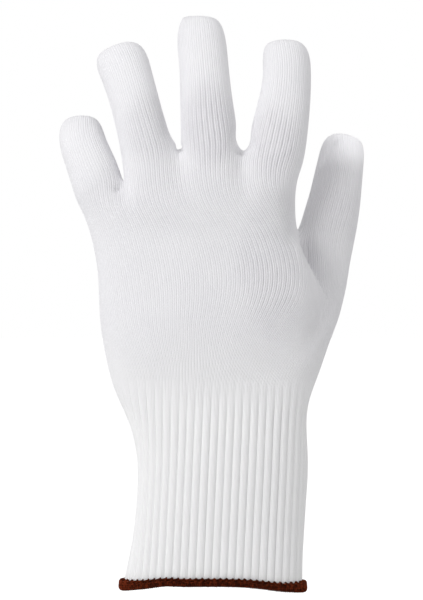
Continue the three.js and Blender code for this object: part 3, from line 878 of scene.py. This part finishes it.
# What each adds to the share of the groove colour, which is painted shade: a groove, a groove that
# stretching opens, the fuzz, and the stretching itself, which is partly painted shade as well.
GROOVE_SHADE, OPENED_SHADE, FUZZ_SHADE, STRETCH_SHADE = 0.45, 0.55, 0.3, 0.35
WARM_PATCHES = 0.5


def new_material(name):
    material = bpy.data.materials.new(name)
    material.use_nodes = True
    return material, material.node_tree, material.node_tree.nodes["Principled BSDF"]


def blend(tree, share, first, second):
    values = {"Factor": share, "A": first, "B": second}
    return add_node(tree, "ShaderNodeMix", values, data_type="RGBA").outputs["Result"]


def finish_yarn(tree, shader, colour, fuzz, relief, roughness, more_with_fuzz, **plain):
    """Fills the shader. The fuzz makes the yarn rougher and adds to its relief."""
    relief = maths(tree, "MULTIPLY_ADD", fuzz, FUZZ_DEPTH, relief)
    bump = add_node(tree, "ShaderNodeBump", {"Height": relief, "Distance": 1.0})
    rough = maths(tree, "MULTIPLY_ADD", fuzz, more_with_fuzz, roughness)
    fill(tree, shader, {"Base Color": colour, "Roughness": rough,
                        "Normal": bump.outputs["Normal"]})
    fill(tree, shader, {name.replace("_", " "): value for name, value in plain.items()})


def white_yarn(name, stitch_depth):
    material, tree, shader = new_material(name)
    knit = add_node(tree, "ShaderNodeUVMap", uv_map="knit_map").outputs["UV"]
    place = add_node(tree, "ShaderNodeTexCoord").outputs["Object"]
    stitch = add_node(tree, "ShaderNodeGroup", {"Knit Map": knit}, node_tree=stitches)
    yarn = add_node(tree, "ShaderNodeGroup", {"Place": place}, node_tree=fibres)
    height = add_node(tree, "ShaderNodeSeparateXYZ", {"Vector": place}).outputs["Z"]
    down = add_node(tree, "ShaderNodeMapRange",
                    {"Value": height, "From Min": RIB_STARTS, "From Max": RIB_COLOUR},
                    interpolation_type="SMOOTHSTEP").outputs["Result"]
    # Painted shade: the colour darkens in the grooves, and by the stretch mask over the knuckles,
    # on the palm's right and at the thumb's web.
    stretch_and_shade = add_node(tree, "ShaderNodeAttribute", attribute_name="stretch_and_shade").outputs["Fac"]
    open_groove = maths(tree, "MULTIPLY_ADD", stretch_and_shade, OPENED_SHADE, GROOVE_SHADE)
    groove = maths(tree, "MULTIPLY", stitch.outputs["Groove"], open_groove)
    shade = maths(tree, "MULTIPLY_ADD", yarn.outputs["Fuzz"], FUZZ_SHADE, groove)
    shade = maths(tree, "MULTIPLY_ADD", stretch_and_shade, STRETCH_SHADE, shade)
    patchy = maths(tree, "MULTIPLY", yarn.outputs["Patch"], WARM_PATCHES)
    colour = blend(tree, shade, blend(tree, down, KNIT_WHITE, RIB_WHITE_PAINTED_LIGHTER),
                   blend(tree, down, KNIT_GROOVE_SHADE, RIB_GROOVE_SHADE))
    colour = blend(tree, patchy, colour, blend(tree, down, KNIT_WARM, RIB_WARM_PAINTED_LIGHTER))
    legs = maths(tree, "MULTIPLY", stitch.outputs["Height"], stitch_depth)
    finish_yarn(tree, shader, colour, yarn.outputs["Fuzz"], legs, roughness=0.82,
                more_with_fuzz=0.15, Sheen_Weight=0.25, Sheen_Roughness=0.6,
                Specular_IOR_Level=0.2)
    return material


white_knit = white_yarn("white_knit", KNIT_STITCH_DEPTH)
# The rib's material is the same yarn, painted lighter for the cuff's weaker light.
white_rib = white_yarn("white_rib", RIB_STITCH_DEPTH)
for piece, node in zip(knit_pieces, KNITTED):
    is_cuff = node == "ribbed_cuff"
    piece.data.materials.clear()
    piece.data.materials.append(white_rib if is_cuff else white_knit)
    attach(piece, "root")
    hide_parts(node)
bpy.data.objects.remove(glove_net)
print("knitted pieces:", len(knit_pieces))

# %% [markdown]
# ## The overlocked hem
# An overlock machine wraps the cut edge in thread: over the front, round the bottom and up the
# back, some two hundred times around the wrist, while a second thread links the wraps along
# the upper edge. A soft core fills the roll. Both threads are modelled once, from a torus, and
# copied along the hem, and one core is extruded from the line of the edge.

# %% The line of the hem
HEM_OUT, END_OUT = 0.0003, 0.0004
HALF_THICK, END_THICK = 0.0015, 0.0002
HALF_HIGH, END_HIGH = 0.00175, 0.00075
END_LIFT = 0.0005
WRIST_HALF, END_SHARPNESS = 0.0415, 4
AHEAD = 0.002
HEM_WAVES = (
    # x, half width, height
    (-0.0215, 0.0070, 0.0007),
    (0.0320, 0.0120, -0.0012),
)

closed_line = np.array(hem_line + hem_line[:1])
line_steps = np.linalg.norm(np.diff(closed_line, axis=0), axis=1)
line_at = np.concatenate([[0], np.cumsum(line_steps)])
hem_length = line_at[-1]


def hem_place(distance):
    """The edge at this distance: its place, the way along it, the way out, and how near an end."""
    here, ahead, behind = (
        Vector(np.interp(distance + step, line_at, closed_line[:, axis], period=hem_length)
               for axis in range(3)) for step in (0, AHEAD, -AHEAD))
    along = (ahead - behind).normalized()
    out = along.cross(Vector((0, 0, 1))).normalized()
    end = (abs(here.x) / WRIST_HALF) ** END_SHARPNESS
    wave = sum(high * math.exp(-((here.x - place) / wide) ** 2) for place, wide, high in HEM_WAVES)
    here += out * (HEM_OUT + END_OUT * end) + Vector((0, 0, END_LIFT * end + wave))
    return here, along, out, end


print("hem in mm:", round(hem_length * 1000, 1), "first way out:", hem_place(0)[2])

# %% One wrap of thread
THREAD = 0.00040
WRAP_PITCH = 0.00090
WRAP_SLANT = 0.35


def long_ring(name, segments, radius, thread, longer):
    """A ring of thread, whose two halves are moved apart along the vector called longer."""
    bpy.ops.mesh.primitive_torus_add(major_segments=segments, minor_segments=6,
                                     major_radius=radius, minor_radius=thread)
    ring = bpy.context.object
    ring.name = name
    longer = Vector(longer)
    ring_mesh = edit(ring, "VERT")
    for point in ring_mesh.verts:
        point.select_set(point.co.dot(longer.normalized()) > SAME_POINT)
    ring_mesh.select_flush(True)
    bmesh.update_edit_mesh(ring.data)
    bpy.ops.transform.translate(value=longer)
    bpy.ops.mesh.select_all(action="INVERT")
    bpy.ops.transform.translate(value=-longer)
    bpy.ops.object.mode_set(mode="OBJECT")
    return ring


wrap = long_ring("wrap", 12, HALF_THICK - THREAD, THREAD, (0, HALF_HIGH - HALF_THICK, 0))
print("wrap in mm:", [round(side * 1000, 2) for side in wrap.dimensions])

# %% Copy the wrap along the hem
def face_outwards(obj):
    edit(obj, "FACE")
    bpy.ops.mesh.select_all(action="SELECT")
    bpy.ops.mesh.normals_make_consistent(inside=False)
    bpy.ops.object.mode_set(mode="OBJECT")


def copy_along(pattern, name, total, shape):
    """Copies the pattern total times around the hem. shape gives each copy's points."""
    points = read(pattern.data.vertices, "co", 3)
    copies = [duplicate(pattern) for number in range(total)]
    for number, copy in enumerate(copies):
        copy.data.vertices.foreach_set("co", shape(number, points).ravel())
    bpy.data.objects.remove(pattern)
    select_only(*copies)
    bpy.ops.object.join()
    joined = bpy.context.object
    joined.name = name
    joined.data.name = name
    face_outwards(joined)
    bpy.ops.object.shade_smooth()
    print(name, "copies:", total, "faces:", len(joined.data.polygons))
    return joined


WRAPS = round(hem_length / WRAP_PITCH)
SCALLOP = 3
SCALLOP_LIFT = 0.0009
LOOSE = 0.00012
NOISE_STEP, NOISE_ROWS, NOISE_PLANE = 1.7, (0, 5, 9), 0.3


def lay_wrap(number, points):
    here, along, out, end = hem_place(number * hem_length / WRAPS)
    wobble = [noise.noise(Vector((number * NOISE_STEP, row, NOISE_PLANE))) * LOOSE
              for row in NOISE_ROWS]
    thick, up, side = points.T
    taller = up * end * END_HIGH / HALF_HIGH
    lift = SCALLOP_LIFT * (0.5 + 0.5 * math.cos(math.tau * number / SCALLOP)) * (up > 0)
    out_by = thick * (1 + end * END_THICK / HALF_THICK) + wobble[0]
    side_by = side + WRAP_SLANT * up * thick / HALF_THICK + wobble[1]
    up_by = up + taller + lift + wobble[2]
    return (np.array(here) + np.outer(out_by, out) + np.outer(side_by, along)
            + np.outer(up_by, (0, 0, 1)))


hem_wraps = copy_along(wrap, "hem_wraps", WRAPS, lay_wrap)

# %% The chain along the upper edge
LINK_THREAD = 0.00036
LINK_HALF_LONG, LINK_HALF_HIGH = 0.0019, 0.00055
LINKS = round(hem_length / (WRAP_PITCH * SCALLOP))
LINK_TILT = 0.22
LINK_OUT, LINK_HUG = 0.3, 0.25
CHAIN_IN = 0.0006


def lay_link(number, points):
    place = (number + 0.5) * hem_length / LINKS
    long, high, deep = points.T
    tops = []
    for step in long:
        here, _, out, end = hem_place(place + step)
        surface = HALF_THICK + END_THICK * end
        top = HALF_HIGH + END_HIGH * end - LINK_HALF_HIGH
        tops.append((*here, *out, surface - CHAIN_IN * end, top - CHAIN_IN * end))
    tops = np.array(tops)
    hug = np.abs(high + LINK_TILT * long) * LINK_HUG
    out_by = tops[:, 6] + deep + LINK_THREAD * LINK_OUT - hug
    up_by = tops[:, 7] + high + LINK_TILT * long
    moved = tops[:, :3] + tops[:, 3:6] * out_by[:, None]
    moved[:, 2] += up_by
    return moved


link = long_ring("link", 10, LINK_HALF_HIGH, LINK_THREAD, (LINK_HALF_LONG - LINK_HALF_HIGH, 0, 0))
hem_chain = copy_along(link, "hem_chain", LINKS, lay_link)

# %% [markdown]
# ## The core of the hem
# The core is drawn from the edge itself: the line of the hem is extruded upwards as a band, the
# band is made thick, and subdivision rounds it into a roll.

# %% The core of the hem
CORE_POINTS = 148
CORE_SHRINK = 0.0003

core_mesh = bpy.data.meshes.new("hem_core")
hem_core = add_to_scene("hem_core", core_mesh)
band = bmesh.new()
lower = []
for number in range(CORE_POINTS):
    here, _, _, end = hem_place(number * hem_length / CORE_POINTS)
    half = HALF_HIGH + END_HIGH * end - CORE_SHRINK
    lower.append(band.verts.new(here - Vector((0, 0, half))))
for number in range(CORE_POINTS):
    band.edges.new((lower[number], lower[(number + 1) % CORE_POINTS]))
band.to_mesh(core_mesh)
band.free()
edit(hem_core, "EDGE")
bpy.ops.mesh.select_all(action="SELECT")
bpy.ops.mesh.extrude_region_move(TRANSFORM_OT_translate={"value": (0, 0, 2 * HALF_HIGH)})
bpy.ops.object.mode_set(mode="OBJECT")
face_outwards(hem_core)
apply_modifier(hem_core, "thickness", "SOLIDIFY", thickness=2 * (HALF_THICK - CORE_SHRINK),
               offset=0)
apply_modifier(hem_core, "roll", "SUBSURF", levels=2, render_levels=2)
bpy.ops.object.shade_smooth()
print("hem core in mm:", [round(side * 1000, 1) for side in hem_core.dimensions])

# %% [markdown]
# ## Brown thread
# The thread is two plies twisted together, so fine slanting grooves run around it. They are drawn
# along each torus's own UV map, in the relief and as painted shade in the colour. The dye is a
# deep red brown, lighter where fibres stand up, and the thread is painted lighter towards the
# hem's two ends, a painted highlight where the wraps are seen at a glancing angle.

# %% Material for the hem
DARK_BROWN, LIGHT_BROWN = (0.010, 0.0012, 0.0005, 1.0), (0.150, 0.024, 0.007, 1.0)
SHEEN_BROWN = (0.9, 0.45, 0.25, 1.0)
PLIES_ALONG, PLY_SHARE, PLY_DEPTH = 14.0, 0.7, 0.00008
WORN_SCALE, WORN_GAIN, WORN_CONTRAST = 700.0, 1.6, 3.0
MIDDLE_LIGHT, END_LIGHT, END_CONTRAST = 0.9, 1.3, 8.0

brown_thread, tree, shader = new_material("brown_thread")
place = add_node(tree, "ShaderNodeTexCoord").outputs["Object"]
yarn = add_node(tree, "ShaderNodeGroup", {"Place": place, "Patch Scale": WORN_SCALE},
                node_tree=fibres)
around = add_node(tree, "ShaderNodeUVMap", uv_map="UVMap").outputs["UV"]
split = add_node(tree, "ShaderNodeSeparateXYZ", {"Vector": around})
twist = maths(tree, "MULTIPLY_ADD", split.outputs["X"], PLIES_ALONG, split.outputs["Y"])
ply = maths(tree, "ABSOLUTE", maths(tree, "SINE", maths(tree, "MULTIPLY", twist, math.pi)))
worn = maths(tree, "MULTIPLY", yarn.outputs["Patch"], WORN_GAIN)
worn = maths(tree, "POWER", worn, WORN_CONTRAST)
# Painted shade: the colour darkens in the grooves between the plies.
ply_shade = maths(tree, "MULTIPLY_ADD", ply, PLY_SHARE, 1 - PLY_SHARE)
# Painted light: the thread is painted lighter towards the hem's two ends, where the wraps are seen
# at a glancing angle.
across = add_node(tree, "ShaderNodeSeparateXYZ", {"Vector": place}).outputs["X"]
to_end = maths(tree, "DIVIDE", maths(tree, "ABSOLUTE", across), WRIST_HALF)
painted_end_light = maths(tree, "POWER", to_end, END_CONTRAST)
painted_end_light = maths(tree, "MULTIPLY_ADD", painted_end_light, END_LIGHT, MIDDLE_LIGHT)
shade = maths(tree, "MULTIPLY", maths(tree, "MULTIPLY", ply_shade, worn), painted_end_light)
colour = blend(tree, shade, DARK_BROWN, LIGHT_BROWN)
plies = maths(tree, "MULTIPLY", ply, PLY_DEPTH)
finish_yarn(tree, shader, colour, yarn.outputs["Fuzz"], plies, roughness=0.7, more_with_fuzz=0.2,
            Sheen_Weight=0.02, Sheen_Roughness=0.5, Sheen_Tint=SHEEN_BROWN,
            Specular_IOR_Level=0.04)
print("nodes in the brown thread:", len(tree.nodes))

# %% Dress the hem
for piece in (hem_wraps, hem_chain, hem_core):
    piece.data.materials.clear()
    piece.data.materials.append(brown_thread)
    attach(piece, "root")
    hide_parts("hem_binding")
    print(piece.name, len(piece.data.polygons), "faces")

# %% [markdown]
# ## Floor
# The glove is held up at its opening, so the pale floor lies well below the wrist. It glows for
# the camera only, which keeps the background white without lighting the glove from below.

# %% Floor
FLOOR_DROP = 0.06
FLOOR_SIZE = 40.0
FLOOR_GLOW = 0.6
PALE, WHITE = (0.8, 0.8, 0.8, 1), (1, 1, 1, 1)

bpy.ops.mesh.primitive_plane_add(size=FLOOR_SIZE, location=(0, 0, -FLOOR_DROP))
floor = bpy.context.object
floor.name = "studio_floor"
bpy.ops.object.transform_apply(location=True, rotation=True, scale=True)
paper, tree, shader = new_material("pale_paper")
seen_directly = add_node(tree, "ShaderNodeLightPath").outputs["Is Camera Ray"]
glow = maths(tree, "MULTIPLY", seen_directly, FLOOR_GLOW)
fill(tree, shader, {"Base Color": PALE, "Roughness": 0.9, "Emission Color": WHITE,
                    "Emission Strength": glow})
floor.data.materials.append(paper)
floor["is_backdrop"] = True
print("floor at", -FLOOR_DROP, "m")

# %% [markdown]
# ## Lights
# On a white object the shape shows by soft shade alone. A large key light from the upper left
# models the fingers and lets the palm round off into shade on the right. A lamp from above
# brightens the fingertips, a weak one from the right opens the deepest shade, and a narrow
# spot lights the thumb's cap, which turns away from the key light. The white world fills the
# rest, as in a product photograph.

# %% Lights
GLOVE_MIDDLE = (0, 0, 0.13)
FINGERTIPS = (0, 0, 0.24)
SOFT_LIGHTS = (
    # name, place, target, size, power
    ("key_light", (-1.50, -1.35, 0.60), GLOVE_MIDDLE, 1.3, 20.0),
    ("top_light", (-0.10, -0.10, 1.30), FINGERTIPS, 0.8, 3.5),
    ("right_fill", (1.30, -0.35, 0.15), GLOVE_MIDDLE, 0.8, 2.2),
)


def new_lamp(name, kind, place, target, power):
    """A lamp that is turned towards its target. Returns its light data."""
    light = bpy.data.lights.new(name, kind)
    light.energy = power
    lamp = add_to_scene(name, light)
    lamp.location = place
    lamp.rotation_euler = (Vector(target) - Vector(place)).to_track_quat("-Z", "Y").to_euler()
    return light


for name, place, target, size, power in SOFT_LIGHTS:
    light = new_lamp(name, "AREA", place, target, power)
    light.shape = "DISK"
    light.size = size
print("soft lights:", len(SOFT_LIGHTS))

# %% A spot for the thumb
THUMB_TIP = (0.0575, 0.045, 0.1995)
SPOT_PLACE, SPOT_POWER = (0.45, -0.35, 0.75), 8.5
SPOT_DEGREES, SPOT_RADIUS = 2.6, 0.005

light = new_lamp("thumb_light", "SPOT", SPOT_PLACE, THUMB_TIP, SPOT_POWER)
light.spot_size = math.radians(SPOT_DEGREES)
light.spot_blend = 1.0
light.shadow_soft_size = SPOT_RADIUS
print("cone of the spot in degrees:", SPOT_DEGREES)

# %% World
WORLD_LIGHT, WORLD_SEEN = 0.57, 1.0

world = bpy.data.worlds.new("white_studio")
world.use_nodes = True
sky = world.node_tree
dim = fill(sky, sky.nodes["Background"], {"Strength": WORLD_LIGHT, "Color": WHITE})
bright = add_node(sky, "ShaderNodeBackground", {"Strength": WORLD_SEEN, "Color": WHITE})
seen_directly = add_node(sky, "ShaderNodeLightPath").outputs["Is Camera Ray"]
either = add_node(sky, "ShaderNodeMixShader",
                  {0: seen_directly, 1: dim.outputs[0], 2: bright.outputs[0]})
fill(sky, sky.nodes["World Output"], {"Surface": either.outputs[0]})
bpy.context.scene.world = world
bpy.context.scene.view_settings.view_transform = "Standard"

# %% [markdown]
# ## Finish
# The size of the finished glove is printed beside the CAD model's, so that both can be compared.

# %% Compare the sizes
finished_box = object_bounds()
sizes = {"cad": [list(corner) for corner in cad_box],
         "visual": [list(corner) for corner in finished_box]}
for name, (low, high) in sizes.items():
    print(name, "size in mm:", [round((b - a) * 1000, 1) for a, b in zip(low, high)])
